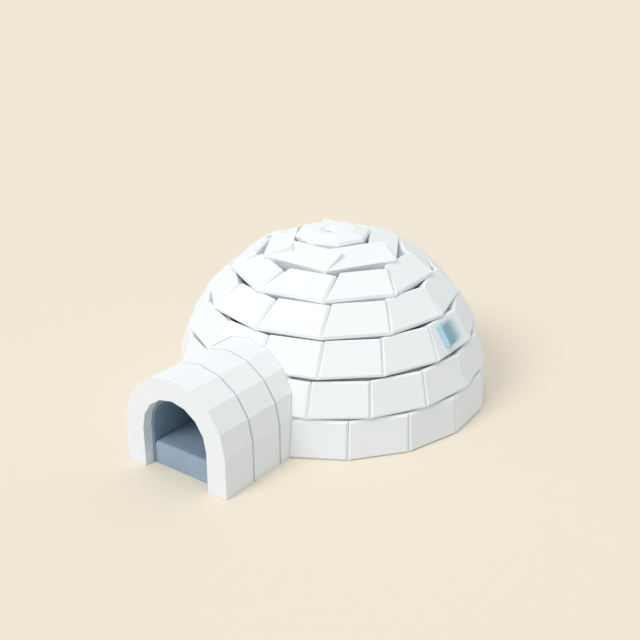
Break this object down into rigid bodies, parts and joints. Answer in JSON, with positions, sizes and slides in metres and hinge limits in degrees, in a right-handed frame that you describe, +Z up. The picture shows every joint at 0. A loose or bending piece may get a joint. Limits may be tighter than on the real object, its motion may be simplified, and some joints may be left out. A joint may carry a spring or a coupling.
{
  "type": "snow block igloo with entrance tunnel",
  "caption": "Dome-shaped shelter of bevelled snow blocks laid in courses, with a vented cap, an ice window and an arched snow tunnel over a raised floor.",
  "frame": {"origin": "on the ground, at the middle of the whole footprint of dome and tunnel", "axes": "+Z up, the entrance tunnel runs out along -Y, the window is on the +X side"},
  "size_m": [3.5749, 4.4008, 1.9075],
  "materials": {
    "packed_snow": "matt wind-packed snow, cut with a knife and lightly trodden at the joints",
    "blue_ice": "snow glazed to blue-grey ice by warm air and wear",
    "clear_ice": "slab of clear blue lake ice"
  },
  "bodies": {
    "root": {"base_course_back_left": "packed_snow", "base_course_back_right": "packed_snow", "base_course_front_left": "packed_snow", "base_course_front_right": "packed_snow", "cap_block": "packed_snow", "fifth_course_back_left": "packed_snow", "fifth_course_back_right": "packed_snow", "fifth_course_front_left": "packed_snow", "fifth_course_front_right": "packed_snow", "fourth_course_back_left": "packed_snow", "fourth_course_back_right": "packed_snow", "fourth_course_front_left": "packed_snow", "fourth_course_front_right": "packed_snow", "second_course_back_left": "packed_snow", "second_course_back_right": "packed_snow", "second_course_front_left": "packed_snow", "second_course_front_right": "packed_snow", "sixth_course_back_left": "packed_snow", "sixth_course_back_right": "packed_snow", "sixth_course_front_left": "packed_snow", "sixth_course_front_right": "packed_snow", "third_course_back_left": "packed_snow", "third_course_back_right": "packed_snow", "third_course_front_left": "packed_snow", "third_course_front_right": "packed_snow", "tunnel_floor": "blue_ice", "tunnel_front_ring": "packed_snow", "tunnel_lining": "blue_ice", "tunnel_middle_ring": "packed_snow", "tunnel_rear_ring": "packed_snow", "window_block": "packed_snow", "window_ice": "clear_ice"}
  },
  "joints": []
}
